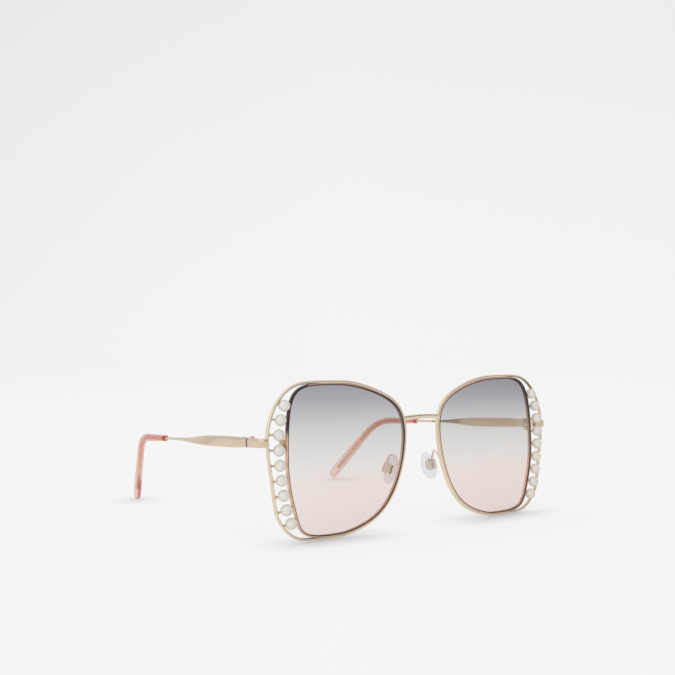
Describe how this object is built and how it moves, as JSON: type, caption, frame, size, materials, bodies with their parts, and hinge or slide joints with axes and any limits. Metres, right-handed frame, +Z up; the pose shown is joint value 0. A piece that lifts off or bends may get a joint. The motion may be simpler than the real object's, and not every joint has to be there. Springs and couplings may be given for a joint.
{
  "type": "cat eye sunglasses",
  "caption": "Butterfly-shaped metal sunglasses with pearl-filled side windows, gradient lenses, twisted metal temples and pink ear sleeves; the temples fold and the nose pads rock.",
  "frame": {"origin": "on the floor plane under the middle of the overall width and length", "axes": "+X towards the wearer's left, -Y the way the lenses face, +Z up; the rims and the ear sleeves rest on Z = 0"},
  "size_m": [0.1514, 0.1416, 0.0605],
  "materials": {
    "gold_metal": "polished champagne gold plating",
    "rose_metal": "polished rose gold plating",
    "core_metal": "satin pale gold",
    "screw_metal": "polished",
    "tinted_lens": "clear polished, tint fading from grey violet at the top to pale pink at the bottom",
    "pearl": "pearlescent",
    "clear_silicone": "clear, soft gloss",
    "pink_acetate": "translucent pink, polished"
  },
  "bodies": {
    "front": {"bridge": "gold_metal", "right_eyewire": "rose_metal", "right_outer_wire": "gold_metal", "right_lens": "tinted_lens", "right_pearls": "pearl", "right_pearl_pins": "gold_metal", "right_closing_block": "gold_metal", "right_rim_screw": "screw_metal", "right_end_piece": "gold_metal", "right_front_hinge": "gold_metal", "right_hinge_screw": "screw_metal", "right_pad_arm": "gold_metal", "right_pad_box": "gold_metal", "right_pad_screw": "screw_metal", "left_eyewire": "rose_metal", "left_outer_wire": "gold_metal", "left_lens": "tinted_lens", "left_pearls": "pearl", "left_pearl_pins": "gold_metal", "left_closing_block": "gold_metal", "left_rim_screw": "screw_metal", "left_end_piece": "gold_metal", "left_front_hinge": "gold_metal", "left_hinge_screw": "screw_metal", "left_pad_arm": "gold_metal", "left_pad_box": "gold_metal", "left_pad_screw": "screw_metal"},
    "right_temple": {"right_temple_hinge": "gold_metal", "right_temple_arm": "gold_metal", "right_core_wire": "core_metal", "right_temple_tip": "pink_acetate"},
    "right_pad": {"right_pad_insert": "screw_metal", "right_nose_pad": "clear_silicone"},
    "left_temple": {"left_temple_hinge": "gold_metal", "left_temple_arm": "gold_metal", "left_core_wire": "core_metal", "left_temple_tip": "pink_acetate"},
    "left_pad": {"left_pad_insert": "screw_metal", "left_nose_pad": "clear_silicone"}
  },
  "joints": [
    {"name": "right_temple_fold", "type": "hinge", "parent": "front", "child": "right_temple", "pos_m": [-0.0726, -0.05618, 0.03761], "axis": [0, 0, -1], "range_deg": [0, 76]},
    {"name": "left_temple_fold", "type": "hinge", "parent": "front", "child": "left_temple", "pos_m": [0.0726, -0.05618, 0.03761], "axis": [0, 0, 1], "range_deg": [0, 84]},
    {"name": "right_pad_rock", "type": "hinge", "parent": "front", "child": "right_pad", "pos_m": [-0.0116, -0.06148, 0.02391], "axis": [0.1736, 0.9848, 0], "range_deg": [-8, 8]},
    {"name": "left_pad_rock", "type": "hinge", "parent": "front", "child": "left_pad", "pos_m": [0.0116, -0.06148, 0.02391], "axis": [-0.1736, 0.9848, 0], "range_deg": [-8, 8]}
  ]
}
